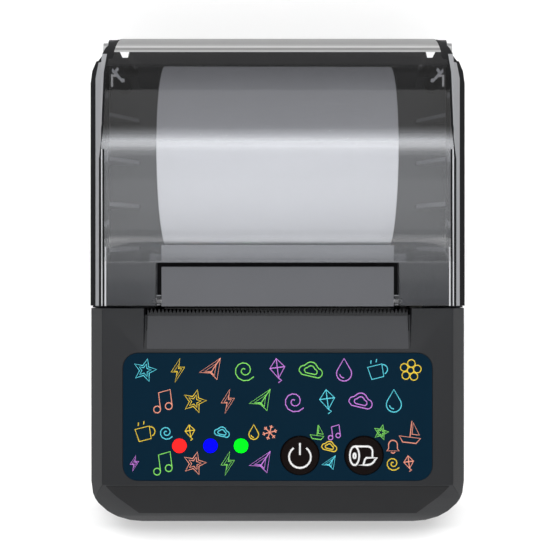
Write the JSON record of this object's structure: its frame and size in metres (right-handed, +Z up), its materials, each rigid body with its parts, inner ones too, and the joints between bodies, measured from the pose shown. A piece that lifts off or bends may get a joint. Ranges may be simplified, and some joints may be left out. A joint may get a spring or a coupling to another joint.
{
  "type": "portable receipt printer",
  "caption": "Portable receipt printer with a hinged smoke clear cover over a paper roll, a release flap, a toothed paper slot and a sloping front with a key panel.",
  "frame": {"origin": "on the surface under the feet, at the middle of the outline seen from above", "axes": "+X across to the printer's right, +Y to the rear hinge, +Z up"},
  "size_m": [0.095, 0.125, 0.057],
  "materials": {
    "housing": "fine matte texture",
    "smoky_cover": "clear, smoke tinted",
    "bracket": "satin",
    "lever": "satin",
    "film": "printed film",
    "red": "lit",
    "blue": "lit",
    "green": "lit",
    "button": "satin",
    "feet": "matte",
    "platen": "ground",
    "steel": "satin",
    "black_screw": "black coated",
    "aluminium": "black anodised",
    "ceramic": "black glazed",
    "board": "solder mask",
    "switch": "satin",
    "battery": "shrink film",
    "paper": "smooth coated",
    "core": "satin",
    "gear": "moulded",
    "bush": "satin",
    "chassis": "satin"
  },
  "bodies": {
    "base": {"bottom_housing": "housing", "rubber_feet": "feet", "case_screws": "steel", "front_deck": "housing", "tear_bar": "housing", "panel_film": "film", "red_lens": "red", "blue_lens": "blue", "green_lens": "green", "control_board": "board", "board_screws": "steel", "tact_switches": "switch", "battery_pack": "battery", "left_hinge_pin": "steel", "right_hinge_pin": "steel", "paper_tray": "housing", "tray_screws": "black_screw", "print_chassis": "chassis", "chassis_screws": "steel", "head_springs": "steel", "feed_motor": "steel", "port_board": "board", "port_socket": "steel"},
    "cover": {"cover_shell": "smoky_cover", "platen_bracket": "bracket", "left_platen_bush": "bush", "right_platen_bush": "bush", "lever_spring": "steel"},
    "lever": {"release_lever": "lever", "lever_pin": "steel"},
    "platen": {"platen_rubber": "platen", "platen_shaft": "steel", "platen_gear": "gear"},
    "idler": {"idler_gear": "gear"},
    "motor_rotor": {"motor_pinion": "gear", "motor_shaft": "steel"},
    "roll": {"paper_roll": "paper", "roll_core": "core"},
    "power_key": {"power_button": "button"},
    "feed_key": {"feed_button": "button"},
    "print_head": {"head_board": "ceramic", "head_heat_sink": "aluminium"}
  },
  "joints": [
    {"name": "cover_hinge", "type": "hinge", "parent": "base", "child": "cover", "pos_m": [0, 0.0596, 0.033], "axis": [-1, 0, 0], "range_deg": [0, 90]},
    {"name": "lever_pivot", "type": "hinge", "parent": "cover", "child": "lever", "pos_m": [0, -0.0047, 0.0378], "axis": [1, 0, 0], "range_deg": [0, 20], "stiffness_Nm_per_rad": 0.05, "springref_deg": -5.73},
    {"name": "platen_spin", "type": "hinge", "parent": "cover", "child": "platen", "pos_m": [0, -0.0012, 0.0295], "axis": [1, 0, 0], "continuous": true},
    {"name": "idler_spin", "type": "hinge", "parent": "base", "child": "idler", "pos_m": [0, -0.0012, 0.0195], "axis": [1, 0, 0], "continuous": true},
    {"name": "motor_spin", "type": "hinge", "parent": "base", "child": "motor_rotor", "pos_m": [0, -0.0062, 0.01391], "axis": [1, 0, 0], "continuous": true},
    {"name": "roll_spin", "type": "hinge", "parent": "base", "child": "roll", "pos_m": [0, 0.0323, 0.0285], "axis": [1, 0, 0], "continuous": true},
    {"name": "power_press", "type": "slide", "parent": "base", "child": "power_key", "axis": [0, 0, -1], "range_m": [0, 0.0005], "stiffness_N_per_m": 600, "springref_m": -0.0002},
    {"name": "feed_press", "type": "slide", "parent": "base", "child": "feed_key", "axis": [0, 0, -1], "range_m": [0, 0.0005], "stiffness_N_per_m": 600, "springref_m": -0.0002},
    {"name": "head_tilt", "type": "hinge", "parent": "base", "child": "print_head", "pos_m": [0, -0.0081, 0.0233], "axis": [1, 0, 0], "range_deg": [0, 1], "stiffness_Nm_per_rad": 2, "springref_deg": -0.57}
  ],
  "couplings": [
    {"joint": "idler_spin", "follows": "platen_spin", "ratio": -1.2222},
    {"joint": "motor_spin", "follows": "platen_spin", "ratio": 1.8333}
  ]
}
